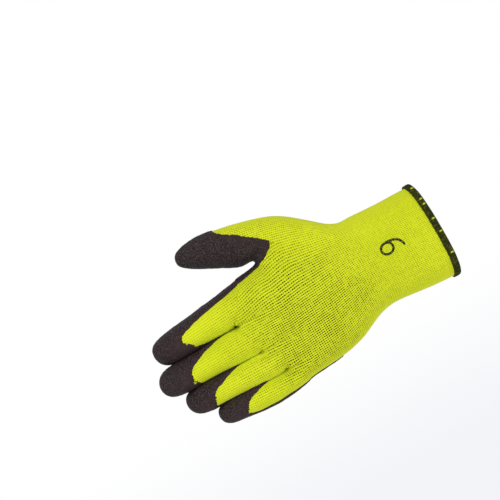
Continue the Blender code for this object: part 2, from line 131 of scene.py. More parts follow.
DIP_LEVELS = (
    # along, level
    (0.180, 2.20),
    (0.240, 1.00),
    (0.400, 0.50),
    (0.540, 0.00),
    (0.610, -0.16),
    (0.640, 0.60),
)
PETALS = (
    # end, tip turn, radial turn, ulnar turn
    (0.101, -5.0, 45.0, 98.0),
    (0.096, -28.0, 81.0, 94.0),
    (0.081, -44.0, 86.0, 96.0),
    (0.080, -45.0, 88.0, 62.0),
)
PETAL_REACH = 0.147
PETAL_ROUNDING = 3.0
PETAL_START = 0.625
PETAL_FADE = 1.2
WEB_ALONG = 0.430
WEB_ACROSS = 0.337
WEB_CURVE = 0.0115
THUMB_DIP = ((0.622, 0.841, 0.10), (0.474, 0.535, -0.75), (0.400, 0.500, 0.50))
DIP_BLEND = 0.0040
BODY_ROUNDING = 2.4
CAP_DOME = 0.5
DENT_TURN = 0.6
FIT_ROUNDS = 4

# The fine surface
OUTER_LEVELS = 4  # subdivisions of what is seen from outside
INNER_LEVELS = 3  # and of the inside of the knit
WALE_PITCH = 0.00172  # between two columns of stitches, at the palm
COURSE_PITCH = 0.00179  # between two rows of stitches
UNDERLAP = 0.0025  # how far the knit goes on under the latex
DIP_SNAP = 0.00008  # a vertex this near to the dip's edge counts as on it

# Creases and soft folds that are too fine for the solids. along is a share of GLOVE_LENGTH, across a share
# of PALM_WIDTH, width and depth are in metres.
CREASES = (
    # side, from along, from across, to along, to across, width, depth
    (-1, 0.728, 0.103, 0.640, 0.094, 0.0017, 0.0013),
    (-1, 0.680, 0.100, 0.560, 0.060, 0.0026, 0.0006),
    (-1, 0.690, 0.112, 0.590, 0.150, 0.0022, 0.0005),
    (-1, 0.690, 0.085, 0.610, 0.030, 0.0020, 0.0004),
    (-1, 0.700, -0.186, 0.610, -0.172, 0.0016, 0.0011),
    (-1, 0.640, -0.176, 0.540, -0.130, 0.0030, 0.0004),
    (-1, 0.655, -0.388, 0.560, -0.350, 0.0016, 0.0009),
    (-1, 0.560, -0.350, 0.450, -0.270, 0.0036, 0.0004),
    (-1, 0.550, 0.450, 0.420, 0.400, 0.0040, 0.0006),
    (-1, 0.470, 0.500, 0.330, 0.420, 0.0050, 0.0006),
    (-1, 0.300, 0.400, 0.200, 0.250, 0.0060, 0.0005),
    (-1, 0.250, -0.300, 0.330, -0.380, 0.0050, 0.0005),
    (1, 0.628, 0.380, 0.612, -0.060, 0.0017, 0.0011),
    (1, 0.596, -0.020, 0.572, -0.500, 0.0016, 0.0011),
    (1, 0.640, 0.330, 0.655, 0.150, 0.0013, 0.0007),
    (1, 0.560, 0.400, 0.430, 0.180, 0.0019, 0.0012),
    (1, 0.430, 0.180, 0.290, 0.120, 0.0024, 0.0010),
    (1, 0.520, 0.300, 0.470, -0.300, 0.0018, 0.0007),
    (1, 0.400, 0.360, 0.300, 0.240, 0.0016, 0.0005),
    (1, 0.330, -0.160, 0.270, -0.330, 0.0020, 0.0005),
    (1, 0.762, 0.360, 0.758, 0.120, 0.0013, 0.0008),
    (1, 0.850, 0.340, 0.848, 0.110, 0.0012, 0.0007),
    (1, 0.780, 0.080, 0.778, -0.140, 0.0013, 0.0008),
    (1, 0.872, 0.070, 0.870, -0.120, 0.0012, 0.0007),
    (1, 0.748, -0.160, 0.744, -0.360, 0.0013, 0.0008),
    (1, 0.835, -0.150, 0.832, -0.330, 0.0012, 0.0007),
    (1, 0.700, -0.370, 0.694, -0.550, 0.0012, 0.0007),
    (1, 0.778, -0.360, 0.775, -0.520, 0.0011, 0.0006),
)


def place(along, across, level):
    """A point from its distance along the hand, across it and towards the palm, in metres."""
    return Vector((-along, level, across))


def mix(a, b, share):
    return a + (b - a) * share


def lane_shares(first):
    knuckle_first = KNUCKLE_LANES[0]
    squeeze = (1 - first) / (1 - knuckle_first)
    return [first + (lane - knuckle_first) * squeeze for lane in KNUCKLE_LANES]


def palm_ring(section):
    """The 20 points of a body section: thumb edge, back lanes, little-finger edge, palm lanes."""
    along, radial, ulnar, back, palm, lane = section
    along *= GLOVE_LENGTH
    radial *= PALM_WIDTH
    ulnar *= PALM_WIDTH
    backs = []
    palms = []
    for share in lane_shares(lane):
        across = mix(radial, ulnar, share)
        bulge = (1 - abs(2 * share - 1) ** BODY_ROUNDING) ** 0.5
        backs.append(place(along, across, -back * HAND_DEPTH * bulge))
        palms.append(place(along, across, palm * HAND_DEPTH * bulge))
    return [place(along, radial, 0)] + backs + [place(along, ulnar, 0)] + palms[::-1]


def knuckle_ring():
    """The last body ring, whose points at the crotches are shared by two fingers."""
    (radial_along, radial), (ulnar_along, ulnar) = KNUCKLE_EDGES
    backs = []
    palms = []
    for lane, (along, back, palm) in zip(KNUCKLE_LANES, KNUCKLES):
        across = mix(radial, ulnar, lane) * PALM_WIDTH
        backs.append(place(along * GLOVE_LENGTH, across, -back * HAND_DEPTH))
        palms.append(place(along * GLOVE_LENGTH, across, palm * HAND_DEPTH))
    radial_point = place(radial_along * GLOVE_LENGTH, radial * PALM_WIDTH, 0)
    ulnar_point = place(ulnar_along * GLOVE_LENGTH, ulnar * PALM_WIDTH, 0)
    return [radial_point] + backs + [ulnar_point] + palms[::-1]


def finger_span(finger):
    """How far along the hand a finger's root and its tip are, in metres."""
    return KNUCKLES[2 * finger + 1][0] * GLOVE_LENGTH, FINGERS[finger][2] * GLOVE_LENGTH


def finger_sizes(finger, share):
    """A finger's place across the hand, its level and half its sizes, a share of the way to its tip."""
    root_across, tip_across, _, root_width, tip_width, root, end, curl = FINGERS[finger]
    across = mix(root_across, tip_across, share) * PALM_WIDTH
    level = curl * GLOVE_LENGTH * share * share
    width = mix(root_width, tip_width, share) * PALM_WIDTH / 2
    depth = mix(root, end, share) * FINGER_DEPTH
    return across, level, width, depth


def finger_centre(finger, share):
    """A finger's middle line at a share of the way from its root to its tip, with half its sizes."""
    low, tip = finger_span(finger)
    across, level, width, depth = finger_sizes(finger, share)
    return place(mix(low, tip, share), across, level), width, depth


def finger_ring(finger, share, scale, gaps=FINGER_GAPS):
    """Eight points round a finger, from the thumb side over the back to the other side and the palm."""
    centre, width, depth = finger_centre(finger, share)
    thumb_gap, other_gap = gaps[finger]
    ahead = finger_centre(finger, share + 0.01)[0]
    along = (ahead - centre).normalized()
    side = Vector((0, 0, 1))
    side = (side - along * side.dot(along)).normalized()
    back = side.cross(along)
    if back.y > 0:
        back = -back
    points = []
    for step in range(8):
        turn = math.radians(45 * step)
        gap = thumb_gap if math.cos(turn) > 0 else other_gap
        offset = side * (width - gap / 2) * math.cos(turn) + back * depth * math.sin(turn)
        points.append(centre + offset * scale)
    return points


def root_ring(finger, webs):
    """A finger's first ring, just past its crotches, where it has come free of its neighbours."""
    ring = finger_ring(finger, 0.0, 1.0, ROOT_GAPS)
    crotch_radial = -webs[finger].x
    crotch_ulnar = -webs[finger + 1].x
    top = max(point.z for point in ring)
    low = min(point.z for point in ring)
    for point in ring:
        share = (top - point.z) / (top - low)
        point.x = -(mix(crotch_radial, crotch_ulnar, share) + WEB_RISE)
    return ring


class Cage:
    """Collects the corner points and the four-sided faces of the glove's coarse shape."""

    def __init__(self):
        self.points = []
        self.faces = []

    def add(self, points):
        first = len(self.points)
        self.points.extend(points)
        return list(range(first, len(self.points)))

    def bridge(self, ring_a, ring_b, skip=()):
        count = len(ring_a)
        for step in range(count):
            if step not in skip:
                after = (step + 1) % count
                self.faces.append((ring_a[step], ring_b[step], ring_b[after], ring_a[after]))

    def cap(self, ring, tip):
        """Closes a digit: rows of faces from the back lane over the middle to the palm lane."""
        half = len(ring) // 2
        backs = ring[1:half]
        palms = ring[half + 1:][::-1]
        middle = []
        side_a = self.points[ring[0]]
        side_b = self.points[ring[half]]
        for step in range(1, len(backs) - 1):
            share = step / (len(backs) - 1)
            dome = 1 - (2 * share - 1) ** 2 * CAP_DOME
            level = side_a.lerp(side_b, share)
            middle.append(level + (tip - side_a.lerp(side_b, 0.5)) * dome)
        middle = [ring[0]] + self.add(middle) + [ring[half]]
        for row_a, row_b in ((backs, middle), (middle, palms)):
            for step in range(len(backs) - 1):
                self.faces.append((row_a[step], row_b[step], row_b[step + 1], row_a[step + 1]))


def thumb_ring(section):
    """Twelve points round the thumb, from its outer edge over the back to its inner edge and the palm."""
    outer_along, outer_across, outer_level, inner_along, inner_across, inner_level, depth = section
    outer = place(outer_along * GLOVE_LENGTH, outer_across * PALM_WIDTH, outer_level * HAND_DEPTH)
    inner = place(inner_along * GLOVE_LENGTH, inner_across * PALM_WIDTH, inner_level * HAND_DEPTH)
    centre = outer.lerp(inner, 0.5)
    side = outer - centre
    back = Vector((0, -1, 0))
    back = (back - side * back.dot(side) / side.length_squared).normalized()
    points = []
    for step in range(12):
        turn = math.radians(30 * step)
        points.append(centre + side * math.cos(turn) + back * depth * THUMB_DEPTH * math.sin(turn))
    return points


def build_cage():
    """The coarse shape: body rings, a knuckle ring that splits into fingers, and the thumb."""
    cage = Cage()
    rings = [cage.add(palm_ring(section)) for section in PALM_SECTIONS]
    knuckles = cage.add(knuckle_ring())
    rings.append(knuckles)
    thumb_steps = (0, len(rings[0]) - 1)
    for step, (ring_a, ring_b) in enumerate(zip(rings, rings[1:])):
        skip = thumb_steps if THUMB_FIRST <= step < THUMB_LAST else ()
        cage.bridge(ring_a, ring_b, skip)

    backs = knuckles[1:10]
    palms = knuckles[11:][::-1]
    sides = [knuckles[0]]
    for lane in (2, 4, 6):
        back_point = cage.points[backs[lane]]
        palm_point = cage.points[palms[lane]]
        sides += cage.add([back_point.lerp(palm_point, 0.5)])
    sides.append(knuckles[10])

    webs = [cage.points[side] for side in sides]
    for finger in range(4):
        lane = 2 * finger
        loop = [sides[finger]] + backs[lane:lane + 3] + [sides[finger + 1]] + palms[lane:lane + 3][::-1]
        length = (finger_centre(finger, 1.0)[0] - finger_centre(finger, 0.0)[0]).length
        depth = finger_centre(finger, 1.0)[2]
        shares = [(share, 1.0) for share in FINGER_STEPS]
        shares += [(1 - below * depth / length, scale) for below, scale in TIP_STEPS]
        ring = cage.add(root_ring(finger, webs))
        cage.bridge(loop, ring)
        for share, scale in shares:
            after = cage.add(finger_ring(finger, share, scale))
            cage.bridge(ring, after)
            ring = after
        cage.cap(ring, finger_centre(finger, 1.0)[0])

    span = rings[THUMB_FIRST:THUMB_LAST + 1]
    loop = [span[0][0]] + [ring[1] for ring in span] + [span[-1][0]] + [ring[-1] for ring in span[::-1]]
    for section in THUMB_SECTIONS:
        ring = cage.add(thumb_ring(section))
        cage.bridge(loop, ring)
        loop = ring
    along, across, level = THUMB_TIP
    cage.cap(loop, place(along * GLOVE_LENGTH, across * PALM_WIDTH, level * HAND_DEPTH))

    used = sorted({corner for face in cage.faces for corner in face})
    number = {old: new for new, old in enumerate(used)}
    cage.points = [cage.points[old] for old in used]
    cage.faces = [tuple(number[corner] for corner in face) for face in cage.faces]
    return cage


def new_mesh(points, faces):
    """A mesh from places and from faces that all have as many corners."""
    mesh = bpy.data.meshes.new("shape")
    mesh.from_pydata(np.asarray(points).tolist(), [], np.asarray(faces).tolist())
    return mesh


def smoothed(points, faces, levels):
    """The smooth surface of a cage, as a new mesh. Its first vertices are the cage's own."""
    mesh = new_mesh(points, faces)
    obj = bpy.data.objects.new("cage", mesh)
    bpy.context.scene.collection.objects.link(obj)
    smooth = obj.modifiers.new("smooth", "SUBSURF")
    smooth.levels = levels
    smooth.render_levels = levels
    depsgraph = bpy.context.evaluated_depsgraph_get()
    result = bpy.data.meshes.new_from_object(obj.evaluated_get(depsgraph))
    bpy.data.objects.remove(obj, do_unlink=True)
    bpy.data.meshes.remove(mesh)
    return result


def fitted(points, faces):
    """Swells a cage until its smooth surface runs through the points that it was drawn with."""
    swollen = [point.copy() for point in points]
    for _ in range(FIT_ROUNDS):
        surface = smoothed(swollen, faces, 1)
        for number, point in enumerate(points):
            swollen[number] += point - surface.vertices[number].co
        bpy.data.meshes.remove(surface)
    return swollen


# From here on, places are arrays with a row for each vertex


def ease(value):
    value = np.clip(value, 0.0, 1.0)
    return value * value * (3 - 2 * value)


def smooth_max(a, b, blend):
    reach = np.maximum(blend - np.abs(a - b), 0.0) / blend
    return np.maximum(a, b) + reach * reach * blend / 4


def smooth_min(a, b, blend):
    return -smooth_max(-a, -b, blend)


def column(rows, number):
    return [row[number] for row in rows]


def from_table(values, rows, number=1):
    """What a column of a table gives for values of its first column."""
    return np.interp(values, column(rows, 0), column(rows, number))


def vertex_rows(mesh, name):
    """A row for each vertex of a mesh: its place, called co, or its normal."""
    rows = np.empty(len(mesh.vertices) * 3, np.float32)
    mesh.vertices.foreach_get(name, rows)
    return rows.reshape(-1, 3).astype(float)


def segment_distance(points, start, end):
    """How far places seen from the back are from a line between two (along, across) places, in metres."""
    start = np.array(start) * (GLOVE_LENGTH, PALM_WIDTH)
    end = np.array(end) * (GLOVE_LENGTH, PALM_WIDTH)
    here = np.stack([-points[:, 0], points[:, 2]], axis=1) - start
    run = end - start
    share = np.clip(here @ run / (run @ run), 0.0, 1.0)
    return np.linalg.norm(here - share[:, None] * run, axis=1), share


def dent_depth(points):
    """How far the dents and folds of the solids press a place in."""
    depth = np.zeros(len(points))
    for side, along_a, across_a, along_b, across_b, width, deep in DENTS:
        away, _ = segment_distance(points, (along_a, across_a), (along_b, across_b))
        gone = away / (width * HAND_DEPTH)
        facing = ease(0.5 + side * points[:, 1] / (DENT_TURN * HAND_DEPTH))
        depth += deep * HAND_DEPTH * facing * np.exp(-gone * gone)
    return depth


CREASE_SHOULDER = 0.35  # how high the surface stands beside a crease, as a share of its depth
CREASE_SPREAD = 2.2  # and how many times wider that is
BACK_END_FADE = 1.6  # how quickly creases fade, as a slope over their length
PALM_START_FADE = 6.0
PALM_END_FADE = 2.2


def crease_depth(points, normals):
    """How far the fine creases press a place in. All fade towards their far ends, the palm's to both."""
    depth = np.zeros(len(points))
    for side, along_a, across_a, along_b, across_b, width, deep in CREASES:
        away, share = segment_distance(points, (along_a, across_a), (along_b, across_b))
        gone = away / width
        facing = ease(side * normals[:, 1] * 2.0)
        if side < 0:
            fade = ease((1 - share) * BACK_END_FADE)
        else:
            fade = ease(share * PALM_START_FADE) * ease((1 - share) * PALM_END_FADE)
        shoulder = CREASE_SHOULDER * np.exp(-(gone / CREASE_SPREAD) ** 2)
        depth += deep * facing * fade * (np.exp(-gone * gone) - shoulder)
    return depth


def noise_values(points, scale, seed, octaves=1):
    """Smooth noise from -1 to 1 at each place, with features of about scale metres."""
    shift = Vector((seed * 7.31, seed * 3.17, seed * 5.77))
    values = np.empty(len(points))
    for number, point in enumerate(points / scale):
        spot = Vector(point) + shift
        if octaves == 1:
            values[number] = noise.noise(spot)
        else:
            values[number] = noise.fractal(spot, 0.6, 2.0, octaves)
    return values


def waves(points, rows):
    """Noise of several sizes added up, in metres."""
    return sum(depth * noise_values(points, size, seed, octaves) for depth, size, seed, octaves in rows)


def finger_place(points):
    """For each place the nearest finger with its middle line there, and half its sizes."""
    along = -points[:, 0]
    best = np.full(len(points), np.inf)
    finger = np.zeros(len(points), int)
    data = np.zeros((len(points), 4))
    for number in range(len(FINGERS)):
        low, tip = finger_span(number)
        across, level, width, depth = finger_sizes(number, (along - low) / (tip - low))
        width = width - FINGER_GAP / 2
        away = np.abs(points[:, 2] - across) / width
        nearer = away < best
        best[nearer] = away[nearer]
        finger[nearer] = number
        data[nearer] = np.stack([across, level, width, depth], axis=1)[nearer]
    return finger, data


def petal_height(points):
    finger, data = finger_place(points)
    across, level, width, depth = data.T
    end, tip_turn, radial_turn, ulnar_turn = np.array(PETALS)[finger].T
    tip = np.array(column(FINGERS, 2))[finger] * GLOVE_LENGTH
    below = (tip - end * GLOVE_LENGTH + points[:, 0]) / (PETAL_REACH * GLOVE_LENGTH)
    turn = np.degrees(np.arctan2((points[:, 2] - across) / width, -(points[:, 1] - level) / depth))
    turn -= tip_turn * np.maximum(1 - below, 0)
    reach = np.where(turn > 0, radial_turn, ulnar_turn)
    return (below - np.abs(turn / reach) ** PETAL_ROUNDING) * depth


def dry_height(points):
    """Above zero the knit is dry, below zero it is under the latex. Roughly a distance in metres."""
    along = -points[:, 0]
    share = along / GLOVE_LENGTH
    dry = from_table(share, DIP_LEVELS) * HAND_DEPTH - points[:, 1]
    past_web = share - WEB_ALONG
    web = (WEB_ACROSS + WEB_CURVE / np.maximum(past_web, 1e-4)) * PALM_WIDTH
    dry = np.where(past_web > 0, smooth_min(dry, web - points[:, 2], DIP_BLEND), dry)
    before_petals = np.maximum(PETAL_START * GLOVE_LENGTH - along, 0.0)
    dry = smooth_min(dry, petal_height(points) + PETAL_FADE * before_petals, DIP_BLEND)
    corners = [place(a * GLOVE_LENGTH, b * PALM_WIDTH, c * HAND_DEPTH) for a, b, c in THUMB_DIP]
    across_thumb = (corners[1] - corners[0]).cross(corners[2] - corners[0]).normalized()
    if across_thumb.x < 0:
        across_thumb = -across_thumb
    return smooth_max(dry, (points - np.array(corners[0])) @ np.array(across_thumb), DIP_BLEND)


THUMB_TILT = 0.29  # how much the stitches lean towards the thumb: a slope
THUMB_START = 0.075  # where the lean begins, from the mouth
LEAN_REACH = 0.040  # how far on it grows in the hand
LEAN_WIDTH = 0.062  # and over what width
THUMB_FROM = 0.052  # how far across the hand the thumb begins
THUMB_ROWS_FROM = 0.045  # and where its rows begin to lean
THUMB_ROWS_OVER = 0.020
STITCH_SPREAD = 0.99  # scales the columns over the hand
FINGER_SPREAD = 0.86  # and over the fingers
FINGER_BLEND = (0.022, 0.030)  # how far before its root a finger's columns begin, and over what length


def centred(across, radial, ulnar):
    """A place across the hand, measured from its middle as if the hand were as wide as at the knuckles."""
    return (across - (radial + ulnar) / 2) * PALM_WIDTH / (radial - ulnar) * STITCH_SPREAD


def stitch_places(points, normals):
    """The column and the row of stitches that each place lies in, as running numbers."""
    along = -points[:, 0]
    across = points[:, 2]
    share = along / GLOVE_LENGTH
    radial = from_table(share, PALM_SECTIONS) * PALM_WIDTH
    ulnar = from_table(share, PALM_SECTIONS, 2) * PALM_WIDTH
    hand = centred(across, radial, ulnar)
    on_thumb = across > THUMB_FROM
    reach = np.where(on_thumb, along - THUMB_START, np.minimum(along - THUMB_START, LEAN_REACH))
    hand = hand - ease(across / LEAN_WIDTH) * np.maximum(reach, 0) * THUMB_TILT

    finger, data = finger_place(points)
    roots = np.array(column(FINGERS, 0)) * PALM_WIDTH
    last = PALM_SECTIONS[-1]
    root_place = centred(roots, last[1] * PALM_WIDTH, last[2] * PALM_WIDTH)
    on_finger = root_place[finger] + (across - data[:, 0]) * FINGER_SPREAD
    low = np.array([finger_span(number)[0] for number in range(len(FINGERS))])[finger]
    before, over = FINGER_BLEND
    blend = ease((along - low + before) / over) * ~on_thumb
    around = mix(hand, on_finger, blend)

    radius = mix(np.where(on_thumb, THUMB_DEPTH, HAND_DEPTH), FINGER_DEPTH, blend)
    turn = np.arccos(np.clip(np.abs(normals[:, 1]), 0, 1))
    # In a crotch the surface faces the fingertips, and no stitches go round it
    sideways = normals[:, 2] / np.sqrt(normals[:, 2] ** 2 + normals[:, 0] ** 2 + 1e-4)
    around += sideways * radius * (turn - np.sin(turn))
    past_hand = across - THUMB_ROWS_FROM
    lengthwise = along + ease(past_hand / THUMB_ROWS_OVER) * past_hand * THUMB_TILT
    return around / WALE_PITCH, lengthwise / COURSE_PITCH


# How open the knit looks, which sets its relief and how dark its holes are painted as shade: most in the
# middle of the back, least on fingers, edges and thumb
HOLES_ALONG = (
    # along in metres, strength
    (0.000, 0.45), (0.050, 0.55), (0.085, 0.95), (0.120, 1.30),
    (0.150, 1.15), (0.175, 0.62), (0.200, 0.34), (0.250, 0.28),
)
HOLES_ACROSS = (
    # across in metres, strength
    (-0.055, 0.35), (-0.045, 0.85), (-0.020, 1.00), (0.010, 0.90),
    (0.035, 0.62), (0.055, 0.45), (0.090, 0.55),
)
HOLES_FACING = (1.5, 0.35)  # how they fade towards the sides: slope and start
HOLES_PATCHY = 0.22
HOLES_PATCH = 0.020  # the size of a patch, in metres


def hole_strength(points, normals):
    slope, start = HOLES_FACING
    facing = ease(np.abs(normals[:, 1]) * slope - start)
    patchy = 1 + HOLES_PATCHY * noise_values(points, HOLES_PATCH, 3)
    by_place = from_table(-points[:, 0], HOLES_ALONG) * from_table(points[:, 2], HOLES_ACROSS)
    return by_place * facing * patchy


# The printed size mark on the back of the cuff: a plain figure nine, its top towards the fingers
MARK_ALONG = 0.0405
MARK_ACROSS = 0.0050
MARK_BOWL = (0.0, 0.0042, 0.0044, 0.0049)  # across, along, half width, half height
MARK_TAIL = ((0.0044, 0.0042), (0.0052, -0.0080), (-0.0034, -0.0090))
MARK_STROKE = 0.0010
MARK_STEPS = 40
MARK_REACH = 0.015  # how far from its middle the distance is worked out
MARK_AWAY = 0.02  # and the distance that stands for all beyond


def mark_distance(points, normals):
    """The distance from the stroke of the printed figure, negative inside it, in metres."""
    steps = np.linspace(0, 1, MARK_STEPS)
    turns = steps * 2 * math.pi
    across, along, half_width, half_height = MARK_BOWL
    bowl = np.stack([across + half_width * np.cos(turns), along + half_height * np.sin(turns)], axis=1)
    start, control, end = (np.array(corner) for corner in MARK_TAIL)
    weights = steps[:, None]
    tail = (1 - weights) ** 2 * start + 2 * weights * (1 - weights) * control + weights ** 2 * end
    strokes = np.concatenate([bowl, tail])
    here = np.stack([points[:, 2] - MARK_ACROSS, -points[:, 0] - MARK_ALONG], axis=1)
    result = np.full(len(points), MARK_AWAY)
    near = (np.abs(here).max(axis=1) < MARK_REACH) & (normals[:, 1] < 0)
    gaps = np.linalg.norm(here[near][:, None, :] - strokes[None], axis=2).min(axis=1)
    result[near] = gaps - MARK_STROKE
    return result


def linked(name, mesh, mat):
    """A smooth object in the scene, of one material."""
    mesh.name = name
    mesh.materials.append(mat)
    mesh.shade_smooth()
    obj = bpy.data.objects.new(name, mesh)
    bpy.context.scene.collection.objects.link(obj)
    return obj


def set_values(mesh, name, values):
    attribute = mesh.attributes.new(name, "FLOAT", "POINT")
    attribute.data.foreach_set("value", np.asarray(values, np.float32))


def face_corners(mesh):
    """The corners of a mesh whose faces all have four sides, a row for each face."""
    corners = np.empty(len(mesh.polygons) * 4, np.int32)
    mesh.polygons.foreach_get("vertices", corners)
    return corners.reshape(-1, 4)


def only_used(points, faces):
    """Leaves out the points that no face uses. Returns the kept points' numbers and the new faces."""
    used = np.unique(faces)
    number = np.full(len(points), -1)
    number[used] = np.arange(len(used))
    return used, number[faces]


SOFT_WAVES = (
    # depth, size, seed, octaves
    (0.00035, 0.030, 1, 1),
    (0.00012, 0.009, 2, 1),
)
GATHER_DEPTH = 0.00016  # of the ripples near the band, where the edge stitches gather the knit
GATHER_ALONG = 0.009  # where they are deepest
GATHER_REACH = 0.006
GATHER_SIZE = 0.0030


def shaped(levels, cage_points, cage_faces):
    """The glove's surface with all its dents and creases: points, normals, faces and plain normals."""
    mesh = smoothed(cage_points, cage_faces, levels)
    points = vertex_rows(mesh, "co")
    normals = vertex_rows(mesh, "normal")
    depth = dent_depth(points) + crease_depth(points, normals)
    depth += waves(points, SOFT_WAVES)
    past = (-points[:, 0] - GATHER_ALONG) / GATHER_REACH
    depth += GATHER_DEPTH * np.exp(-past ** 2) * np.sin(points[:, 2] / GATHER_SIZE)
    faces = face_corners(mesh)
    bpy.data.meshes.remove(mesh)
    moved = points - normals * depth[:, None]
    moved_mesh = new_mesh(moved, faces)
    moved_normals = vertex_rows(moved_mesh, "normal")
    bpy.data.meshes.remove(moved_mesh)
    return moved, moved_normals, faces, normals


# Materials. All colours are linear.

# Patterns of noise: scale, detail, low, high, and what they give there if not 0 and 1
KNIT_CLOUDS = (28.0, 2.0, 0.30, 0.70)
KNIT_FIBRES = (1500.0, 2.0, 0.30, 0.70)
UNEVEN_HOLES = (420.0, 1.0, 0.30, 0.70, 0.55, 1.15)
WORN_INK = (900.0, 2.0, 0.34, 0.46, 0.60, 1.0)
LATEX_GRAIN_AND_GLINTS = (1150.0, 1.0, 0.44, 0.70)
LATEX_CLOUDS = (40.0, 2.0, 0.32, 0.68)
LATEX_GLOSS = (260.0, 2.0, 0.30, 0.70, 0.42, 0.58)
BAND_FIBRES = (1900.0, 2.0, 0.30, 0.70)
BAND_SPECKS = (700.0, 1.0, 0.50, 0.72)

# First colours
KNIT_DEEP = (0.620, 0.700, 0.004)
KNIT_BRIGHT = (0.705, 0.775, 0.010)
INK = (0.010, 0.009, 0.002)
LATEX_NEAR_EDGE = (0.0066, 0.0018, 0.0022)
LATEX_FAR = (0.0070, 0.0038, 0.0042)
# Painted shade: the colour in the grooves between the band's threads
THREAD_GROOVE_SHADE = (0.0016, 0.0018, 0.0004)
THREAD_HIGH = (0.040, 0.046, 0.006)
SHEEN = (0.95, 1.0, 0.45)

# Tints laid over them, painted shade and painted glints among them: how much of each shows at most, and its
# colour
FIBRE_TINT = (0.25, (0.760, 0.830, 0.028))
# Painted shade: darker between the legs of each stitch and between the stitch columns, where the grooves of
# the knit lie
LOOP_PAINTED_SHADE = (0.16, (0.300, 0.340, 0.004))
COLUMN_PAINTED_SHADE = (0.10, (0.260, 0.290, 0.003))
# Painted shade: the colour of the holes, for the shade inside the glove seen through them
HOLE_PAINTED_SHADE = (0.97, (0.022, 0.022, 0.001))
# Partly a speckled tone of the latex, partly painted glints where light would catch its crinkles
GRAIN_AND_GLINT_TINT = (0.85, (0.096, 0.053, 0.055))
CLOUD_TINT = (0.20, (0.018, 0.013, 0.015))
RIM_TINT = (0.70, (0.034, 0.013, 0.015))
STRAND_TINT = (0.12, (0.080, 0.090, 0.010))
SPECK_TINT = (0.55, (0.130, 0.145, 0.025))
SLIT_TINT = (0.95, (0.620, 0.690, 0.030))

# Bump distance, bump strength, specular level, and roughness where it is the same all over
KNIT_FINISH = (0.00030, 0.60, 0.22, 0.86)
LATEX_FINISH = (0.00060, 1.00, 0.30)
BAND_FINISH = (0.00018, 0.80, 0.10, 0.82)

# How the columns and rows stray, as yarn does: scale, detail, amount
COLUMNS_STRAY = (160.0, 2.0, 0.20)
ROWS_STRAY = (230.0, 1.0, 0.28)
LEG_SLANT = 0.9  # how far a stitch's legs lean, in rows
BETWEEN_COLUMNS = (0.80, 0.30)  # where the gap beside a column begins and ends, on its wave
BETWEEN_ROWS = (0.075, 0.475)  # and the same for the rows
HOLE_IN_ROWS = 0.86  # how much of a gap's depth comes and goes with the rows
LOOP_RELIEF = 0.35
HOLE_RELIEF = 0.9
FUZZ_SCALE = 2600.0
FUZZ_RELIEF = 0.22
INK_EDGE = 0.00022  # half the width over which the ink fades out
RIM_REACH = 0.0075  # how far from the dip's edge its rim reaches
FAR_REACH = (0.006, 0.022)  # where the coating's two first colours meet
CRINKLE_SCALE = 900.0
CRINKLE_RELIEF = 1.2
WRINKLE_SCALE = 760.0
WRINKLE_WIDTH = 0.22
WRINKLE_RELIEF = 0.45
STRAND_RELIEF = 0.2


